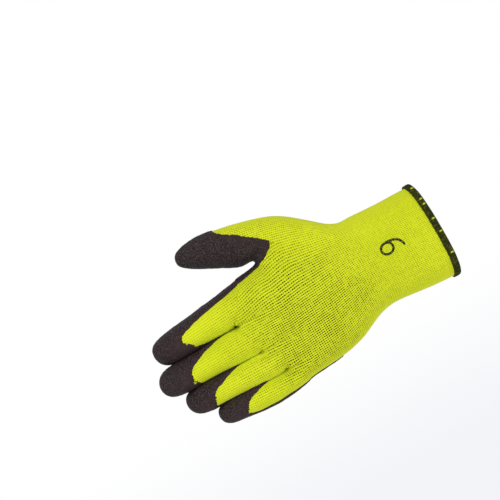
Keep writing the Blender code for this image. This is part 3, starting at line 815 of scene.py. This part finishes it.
class Nodes:
    """Short names for the shader nodes that the materials share."""

    def __init__(self, name):
        self.material = bpy.data.materials.new(name)
        self.material.use_nodes = True
        self.tree = self.material.node_tree
        self.shader = self.tree.nodes["Principled BSDF"]

    def put(self, value, socket):
        if isinstance(value, (int, float)):
            socket.default_value = value
        elif isinstance(value, tuple):
            socket.default_value = (*value, 1.0)
        else:
            self.tree.links.new(value, socket)

    def math(self, operation, a, b=0.0, c=0.0):
        node = self.tree.nodes.new("ShaderNodeMath")
        node.operation = operation
        for value, socket in zip((a, b, c), node.inputs):
            self.put(value, socket)
        return node.outputs[0]

    def value(self, name):
        node = self.tree.nodes.new("ShaderNodeAttribute")
        node.attribute_name = name
        return node.outputs["Fac"]

    def position(self):
        return self.tree.nodes.new("ShaderNodeTexCoord").outputs["Object"]

    def noise(self, scale, detail, roughness=0.5):
        node = self.tree.nodes.new("ShaderNodeTexNoise")
        for name, number in (("Scale", scale), ("Detail", detail), ("Roughness", roughness)):
            self.put(number, node.inputs[name])
        self.put(self.position(), node.inputs["Vector"])
        return node.outputs["Fac"]

    def cells(self, scale):
        """The distance from the borders between random cells."""
        node = self.tree.nodes.new("ShaderNodeTexVoronoi")
        node.feature = "DISTANCE_TO_EDGE"
        self.put(scale, node.inputs["Scale"])
        self.put(self.position(), node.inputs["Vector"])
        return node.outputs["Distance"]

    def range(self, value, low, high, out_low=0.0, out_high=1.0):
        node = self.tree.nodes.new("ShaderNodeMapRange")
        node.interpolation_type = "SMOOTHSTEP"
        self.put(value, node.inputs["Value"])
        for name, number in (("From Min", low), ("From Max", high), ("To Min", out_low), ("To Max", out_high)):
            self.put(number, node.inputs[name])
        return node.outputs["Result"]

    def patches(self, scale, detail, *limits):
        return self.range(self.noise(scale, detail), *limits)

    def wave(self, value):
        """1 at each whole number and 0 halfway between two."""
        swing = self.math("COSINE", self.math("MULTIPLY", value, 2 * math.pi))
        return self.math("MULTIPLY_ADD", swing, 0.5, 0.5)

    def strayed(self, name, scale, detail, amount):
        """A running number of the mesh that strays a little from place to place."""
        stray = self.math("SUBTRACT", self.noise(scale, detail), 0.5)
        return self.math("MULTIPLY_ADD", stray, amount, self.value(name))

    def mix(self, share, a, b):
        node = self.tree.nodes.new("ShaderNodeMix")
        node.data_type = "RGBA"
        self.put(share, node.inputs["Factor"])
        colours = [socket for socket in node.inputs if socket.type == "RGBA"]
        for value, socket in zip((a, b), colours):
            self.put(value, socket)
        return next(socket for socket in node.outputs if socket.type == "RGBA")

    def tint(self, base, share, tint):
        amount, colour = tint
        return self.mix(self.math("MULTIPLY", share, amount), base, colour)

    def finish(self, base, height, distance, strength, specular, roughness):
        node = self.tree.nodes.new("ShaderNodeBump")
        for name, value in (("Distance", distance), ("Strength", strength), ("Height", height)):
            self.put(value, node.inputs[name])
        self.put(node.outputs["Normal"], self.shader.inputs["Normal"])
        self.put(base, self.shader.inputs["Base Color"])
        self.put(specular, self.shader.inputs["Specular IOR Level"])
        self.put(roughness, self.shader.inputs["Roughness"])
        return self.material


def knit_material():
    n = Nodes("yellow_green_knit")
    wale = n.strayed("wale", *COLUMNS_STRAY)
    course = n.strayed("course", *ROWS_STRAY)
    rib = n.wave(wale)
    side = n.math("ABSOLUTE", n.math("SUBTRACT", n.math("FRACT", n.math("ADD", wale, 0.5)), 0.5))
    loops = n.wave(n.math("MULTIPLY_ADD", side, LEG_SLANT, course))
    gap = n.range(rib, *BETWEEN_COLUMNS)
    rows = n.range(n.wave(course), *BETWEEN_ROWS)
    hole = n.math("MULTIPLY", gap, n.math("MULTIPLY_ADD", rows, HOLE_IN_ROWS, 1 - HOLE_IN_ROWS))
    hole = n.math("MULTIPLY", hole, n.value("opening"))
    hole = n.math("MULTIPLY", hole, n.patches(*UNEVEN_HOLES))

    base = n.mix(n.patches(*KNIT_CLOUDS), KNIT_DEEP, KNIT_BRIGHT)
    base = n.tint(base, n.patches(*KNIT_FIBRES), FIBRE_TINT)
    # Painted shade in the grooves between the stitches' legs and between their columns
    base = n.tint(base, n.math("SUBTRACT", 1.0, loops), LOOP_PAINTED_SHADE)
    base = n.tint(base, gap, COLUMN_PAINTED_SHADE)
    # Painted shade: the open holes darkened for the shade seen through them
    base = n.tint(base, hole, HOLE_PAINTED_SHADE)
    ink = n.range(n.value("mark"), INK_EDGE, -INK_EDGE)
    base = n.mix(n.math("MULTIPLY", ink, n.patches(*WORN_INK)), base, INK)

    height = n.math("MULTIPLY", rib, n.math("MULTIPLY_ADD", loops, LOOP_RELIEF, 1 - LOOP_RELIEF))
    height = n.math("MULTIPLY_ADD", hole, -HOLE_RELIEF, height)
    height = n.math("MULTIPLY_ADD", n.noise(FUZZ_SCALE, 2.0), FUZZ_RELIEF, height)
    n.shader.inputs["Sheen Weight"].default_value = 0.12
    n.shader.inputs["Sheen Roughness"].default_value = 0.5
    n.put(SHEEN, n.shader.inputs["Sheen Tint"])
    return n.finish(base, height, *KNIT_FINISH)


def latex_material():
    n = Nodes("black_crinkled_latex")
    edge = n.value("from_edge")
    base = n.mix(n.range(edge, *FAR_REACH), LATEX_NEAR_EDGE, LATEX_FAR)
    # Speckled tone and painted glints of the crinkles, laid over the coating's colour
    base = n.tint(base, n.patches(*LATEX_GRAIN_AND_GLINTS), GRAIN_AND_GLINT_TINT)
    base = n.tint(base, n.patches(*LATEX_CLOUDS), CLOUD_TINT)
    base = n.tint(base, n.range(edge, RIM_REACH, 0.0), RIM_TINT)
    crinkle = n.noise(CRINKLE_SCALE, 3.0, 0.6)
    wrinkles = n.range(n.cells(WRINKLE_SCALE), 0.0, WRINKLE_WIDTH)
    height = n.math("MULTIPLY_ADD", crinkle, CRINKLE_RELIEF, n.math("MULTIPLY", wrinkles, WRINKLE_RELIEF))
    return n.finish(base, height, *LATEX_FINISH, n.patches(*LATEX_GLOSS))


def band_material():
    n = Nodes("olive_overlock_thread")
    thread = n.wave(n.value("strand"))
    fibre = n.patches(*BAND_FIBRES)
    # Painted shade: each thread darkens towards the groove beside it
    base = n.mix(thread, THREAD_GROOVE_SHADE, THREAD_HIGH)
    base = n.tint(base, fibre, STRAND_TINT)
    base = n.tint(base, n.patches(*BAND_SPECKS), SPECK_TINT)
    base = n.tint(base, n.value("slit"), SLIT_TINT)
    return n.finish(base, n.math("MULTIPLY_ADD", fibre, STRAND_RELIEF, thread), *BAND_FINISH)


# The pieces


def make_knit(outer, inner, mat):
    """The outer side where it is dry and a little beyond, and the whole inner side, in one mesh."""
    points, normals, faces, plain = outer
    keep = dry_height(points)[faces].max(axis=1) > -UNDERLAP
    used, outer_faces = only_used(points, faces[keep])
    in_points, in_normals, in_faces, in_plain = inner
    points = np.concatenate([points[used], in_points - in_normals * KNIT_WALL])
    normals = np.concatenate([normals[used], in_normals])
    plain = np.concatenate([plain[used], in_plain])
    mesh = new_mesh(points, np.concatenate([outer_faces, in_faces[:, ::-1] + len(used)]))
    wale, course = stitch_places(points, plain)
    set_values(mesh, "wale", wale)
    set_values(mesh, "course", course)
    set_values(mesh, "opening", hole_strength(points, plain))
    set_values(mesh, "mark", mark_distance(points, normals))
    return linked("knit_glove", mesh, mat)


def cut_along(skin, heights):
    """Splits the faces of a mesh along the line where heights, kept for each vertex, are zero."""
    level = {vertex: heights[vertex.index] for vertex in skin.verts}
    for vertex, height in level.items():
        if abs(height) < DIP_SNAP:
            level[vertex] = 0.0
    new = []
    for edge in list(skin.edges):
        low, high = edge.verts
        if level[low] * level[high] < 0:
            share = level[low] / (level[low] - level[high])
            vertex = bmesh.utils.edge_split(edge, low, share)[1]
            level[vertex] = 0.0
            new.append(vertex)
    for face in dict.fromkeys(face for vertex in new for face in vertex.link_faces):
        marks = [vertex for vertex in face.verts if level[vertex] == 0]
        if len(marks) == 2 and len(face.verts) > 3:
            bmesh.utils.face_split(face, marks[0], marks[1])
    return level


TEETH_DEPTH = 0.00022  # of the fine teeth that the stitches give the dip's edge
NEAR_EDGE = 0.004  # how far from its edge the dip is uneven
EDGE_WAVES = (
    # depth, size, seed, octaves
    (0.0006, 0.0016, 5, 1),
    (0.0012, 0.0080, 6, 1),
)
EDGE_SINK = 0.00015  # how deep the coating's very edge lies in the knit
EDGE_ROLL = 0.0008  # the length over which it grows to its full thickness
CRINKLE_WAVES = (
    # depth, size, seed, octaves
    (0.00016, 0.0024, 8, 3),
    (0.00022, 0.0075, 9, 1),
)
CRINKLE_START = 0.002  # the length over which the crinkles grow


def make_latex(outer, mat):
    """The coating: a skin over the knit that thins out to nothing along its finely toothed edge."""
    points, _, faces, plain = outer
    wale, course = stitch_places(points, plain)
    heights = dry_height(points)
    near = np.abs(heights) < NEAR_EDGE
    heights += TEETH_DEPTH * np.cos(2 * math.pi * wale) * np.cos(math.pi * course)
    heights[near] += waves(points[near], EDGE_WAVES)
    keep = heights[faces].min(axis=1) <= 0
    used, kept = only_used(points, faces[keep])
    mesh = new_mesh(points[used], kept)
    skin = bmesh.new()
    skin.from_mesh(mesh)
    skin.verts.ensure_lookup_table()
    level = cut_along(skin, heights[used])
    loose = [face for face in skin.faces if max(level[vertex] for vertex in face.verts) > 0]
    bmesh.ops.delete(skin, geom=loose, context="FACES")
    skin.verts.index_update()
    depths = np.array([-level[vertex] for vertex in skin.verts])
    skin.to_mesh(mesh)
    skin.free()
    spots = vertex_rows(mesh, "co")
    thick = (LATEX_WALL + SEAT_GAP) * (1 - np.exp(-depths / EDGE_ROLL)) - EDGE_SINK
    thick += waves(spots, CRINKLE_WAVES) * ease(depths / CRINKLE_START)
    spots += vertex_rows(mesh, "normal") * thick[:, None]
    mesh.vertices.foreach_set("co", spots.astype(np.float32).ravel())
    mesh.update()
    set_values(mesh, "from_edge", depths)
    return linked("latex_grip", mesh, mat)


THREAD_PITCH = 0.00095  # between two threads of the band
THREAD_STEPS = 7  # places on the mouth's edge for each thread
THREAD_SLANT = 0.8  # how far a thread leans over the band's width, in threads
THREAD_RIDGE = 0.00011  # how far a thread stands out
MOUTH_RIDGE = 0.00010  # and at the mouth
UNEVEN_DEPTH = 0.00016
UNEVEN_STEPS = (0.6, 0.2)  # through the noise: for a thread, and for a point of the section
TOOTH_LENGTH = 0.00085  # how far its threads reach into the knit
BAND_SINK = 0.0011  # how deep the band's two ends lie in the knit
BAND_BULGE = 0.00018
MOUTH_SNAP = 0.0002  # points this near to the mouth are its edge
MOUTH_FOLD = 0.0009  # how far the rounded fold at the mouth reaches
OUTSIDE_STEPS = 8
FOLD_STEPS = 6
INSIDE_STEPS = 6
# Where the threads part and the knit shows: places across the hand, on its back and on its palm
SLITS = (
    (-1, (0.0346, 0.0248, 0.0203, 0.0075, -0.0036, -0.0215)),
    (1, (0.0290, 0.0120, -0.0060, -0.0190, -0.0300)),
)
SLIT_LENGTH = 0.0026
SLIT_WIDTH = 0.00075
SLIT_DEPTH = 0.0005
SLIT_MIDDLE = 0.45  # as a share of the band's width


def mouth_loop(points):
    """The mouth's edge as a closed line of even steps, its outward directions and the threads on it."""
    rim = points[points[:, 0] > -PALM_SECTIONS[0][0] * GLOVE_LENGTH - MOUTH_SNAP]
    rim = rim[np.argsort(np.arctan2(rim[:, 1], rim[:, 2]))]
    line = np.concatenate([rim, rim[:1]])[:, 1:]
    lengths = np.concatenate([[0], np.cumsum(np.linalg.norm(np.diff(line, axis=0), axis=1))])
    threads = round(lengths[-1] / THREAD_PITCH)
    at = np.linspace(0, lengths[-1], threads * THREAD_STEPS, endpoint=False)
    spots = np.stack([np.interp(at, lengths, line[:, 0]), np.interp(at, lengths, line[:, 1])], axis=1)
    ahead = np.roll(spots, -3, axis=0) - np.roll(spots, 3, axis=0)
    out = np.stack([ahead[:, 1], -ahead[:, 0]], axis=1)
    out /= np.linalg.norm(out, axis=1)[:, None]
    if (out * spots).sum() < 0:
        out = -out
    return spots, out


def band_section():
    """The band's outline, from its outer end over the mouth to its inner end.

    A row for each point: how far out it is, how far along, and the side of the knit that it is on.
    """
    outside = SEAT_GAP + BAND_WALL
    inside = -KNIT_WALL - outside
    middle = (outside + inside) / 2
    half = (outside - inside) / 2
    section = []
    for step in range(OUTSIDE_STEPS + 1):
        share = step / OUTSIDE_STEPS
        bulge = BAND_BULGE * math.sin(math.pi * share)
        section.append((outside + bulge, mix(BAND_WIDTH, MOUTH_FOLD, share), 1))
    for step in range(1, FOLD_STEPS):
        turn = math.pi * step / FOLD_STEPS
        section.append((middle + half * math.cos(turn), MOUTH_FOLD * (1 - math.sin(turn)), 0))
    for step in range(INSIDE_STEPS + 1):
        section.append((inside, mix(MOUTH_FOLD, BAND_WIDTH, step / INSIDE_STEPS), -1))
    return section


def slit_opening(spot, along):
    """How far the threads part at a place on the band's outside, from 0 to 1."""
    result = 0.0
    inner = 1 - abs(along - BAND_WIDTH * SLIT_MIDDLE) / SLIT_LENGTH * 2
    for side, places in SLITS:
        if side * spot[0] > 0:
            near = 1 - min(abs(spot[1] - across) for across in places) / SLIT_WIDTH
            result = max(result, min(near * 2, inner * 3, 1.0))
    return result


def make_band(outer, mat):
    """The overlocked edge: close threads wound over the mouth, whose ends make a fine row of teeth."""
    spots, out = mouth_loop(outer[0])
    section = band_section()
    count = len(section)
    points = []
    strand = []
    slit = []
    for number, (spot, away) in enumerate(zip(spots, out)):
        phase = number / THREAD_STEPS
        for step, (reach, along, side) in enumerate(section):
            turn = phase + along / BAND_WIDTH * THREAD_SLANT
            ridge = math.cos(2 * math.pi * turn)
            uneven = noise.noise(Vector((phase * UNEVEN_STEPS[0], step * UNEVEN_STEPS[1], 0.0)))
            lift = side * (THREAD_RIDGE * ridge + UNEVEN_DEPTH * uneven)
            if step in (0, count - 1):
                lift = -side * BAND_SINK
            open_here = slit_opening(spot, along) if 0 < step < OUTSIDE_STEPS else 0.0
            at = spot + away * (reach + lift - SLIT_DEPTH * open_here)
            forward = MOUTH_RIDGE * ridge if side == 0 else 0.0
            if step in (0, 1, count - 1):
                forward = -TOOTH_LENGTH * (1 + ridge + uneven) / 2
            points.append((forward - along, at[0], at[1]))
            strand.append(turn)
            slit.append(open_here)
    faces = []
    rings = len(spots)
    for ring in range(rings):
        here = ring * count
        after = (ring + 1) % rings * count
        for step in range(count):
            step_after = (step + 1) % count
            faces.append((here + step, here + step_after, after + step_after, after + step))
    mesh = new_mesh(points, faces)
    set_values(mesh, "strand", strand)
    set_values(mesh, "slit", slit)
    return linked("overlock_band", mesh, mat)


STAGE_CENTRE = Vector((-0.12, 0.0, 0.0))
STAGE_RADIUS = 2.6
STAGE_BLUE_BELOW = -0.58  # the height up to which the backdrop is faintly blue
STAGE_WHITE_ABOVE = -0.11  # and the height from which it is white
STAGE_BLUE = (0.89, 0.90, 0.935)
STAGE_WHITE = (1.0, 1.0, 1.0)


def make_stage():
    """A pale ball round the whole scene, which backs every view: white above and faintly blue below."""
    ball = bmesh.new()
    centre = Matrix.Translation(STAGE_CENTRE)
    bmesh.ops.create_icosphere(ball, subdivisions=5, radius=STAGE_RADIUS, matrix=centre)
    mesh = bpy.data.meshes.new("shape")
    ball.to_mesh(mesh)
    ball.free()
    n = Nodes("pale_backdrop")
    parts = n.tree.nodes.new("ShaderNodeSeparateXYZ")
    n.put(n.position(), parts.inputs[0])
    n.put((0.0, 0.0, 0.0), n.shader.inputs["Base Color"])
    n.shader.inputs["Specular IOR Level"].default_value = 0.0
    rise = n.range(parts.outputs["Z"], STAGE_BLUE_BELOW, STAGE_WHITE_ABOVE)
    n.put(n.mix(rise, STAGE_BLUE, STAGE_WHITE), n.shader.inputs["Emission Color"])
    n.shader.inputs["Emission Strength"].default_value = 1.0
    obj = linked("backdrop", mesh, n.material)
    # The backdrop is seen, but the light comes from the studio round it
    obj.visible_diffuse = False
    obj.visible_glossy = False
    obj.visible_shadow = False


def area_light(name, place_at, target, size, power):
    data = bpy.data.lights.new(name, "AREA")
    data.shape = "DISK"
    data.size = size
    data.energy = power
    light = bpy.data.objects.new(name, data)
    light.location = place_at
    light.rotation_mode = "QUATERNION"
    light.rotation_quaternion = (Vector(target) - Vector(place_at)).to_track_quat("-Z", "Y")
    light.visible_camera = False
    bpy.context.scene.collection.objects.link(light)


FOCAL_PIXELS = 1430.0
FRAME_PIXELS = 500.0
VIEW_TURN = math.radians(-8)
VIEW_ROLL = math.radians(-30)
VIEW_TARGET = Vector((-0.12, 0.0, 0.01))
VIEW_PIXEL = (296.0, 293.5)
VIEW_DISTANCE = 1.1


def make_camera():
    """The photograph's view: level, a little from the finger side, and rolled so that the hand slants."""
    rotation = Matrix.Rotation(VIEW_TURN, 3, "Z") @ Matrix.Rotation(-VIEW_ROLL, 3, "Y")
    right, forward, up = rotation.transposed()
    eye = VIEW_TARGET - forward * VIEW_DISTANCE
    off_x = (FRAME_PIXELS / 2 - VIEW_PIXEL[0]) / FOCAL_PIXELS
    off_y = -(FRAME_PIXELS / 2 - VIEW_PIXEL[1]) / FOCAL_PIXELS
    aim = (forward + right * off_x + up * off_y).normalized()
    right = (right - aim * right.dot(aim)).normalized()
    up = right.cross(aim)
    data = bpy.data.cameras.new("camera")
    data.sensor_width = 36.0
    data.lens = FOCAL_PIXELS / FRAME_PIXELS * data.sensor_width
    camera = bpy.data.objects.new("camera", data)
    rows = Matrix((right, up, -aim)).transposed()
    camera.matrix_world = Matrix.Translation(eye) @ rows.to_4x4()
    bpy.context.scene.collection.objects.link(camera)
    bpy.context.scene.camera = camera


def make_world():
    world = bpy.data.worlds.new("studio")
    world.use_nodes = True
    background = world.node_tree.nodes["Background"]
    background.inputs["Color"].default_value = (0.97, 0.985, 1.0, 1.0)
    background.inputs["Strength"].default_value = 0.50
    bpy.context.scene.world = world


cage = build_cage()
cage_points = fitted(cage.points, cage.faces)
outer_side = shaped(OUTER_LEVELS, cage_points, cage.faces)
inner_side = shaped(INNER_LEVELS, cage_points, cage.faces)

knit = make_knit(outer_side, inner_side, knit_material())
latex = make_latex(outer_side, latex_material())
band = make_band(outer_side, band_material())
for piece, node, finish in (
    (knit, "knit_liner", "knit"),
    (latex, "latex_coating", "latex"),
    (band, "cuff_overlock", "overlock"),
):
    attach(piece, "root")
    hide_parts(node)

make_stage()
make_camera()
make_world()
area_light("key", (-0.75, -1.30, 1.25), (-0.12, 0.0, 0.0), 0.8, 20.0)
area_light("fill", (0.60, -1.10, -0.75), (-0.12, 0.0, 0.0), 0.9, 9.0)
area_light("floor glow", (-0.55, -0.35, -0.75), (-0.15, 0.0, 0.0), 0.9, 2.0)
bpy.context.scene.view_settings.view_transform = "Standard"
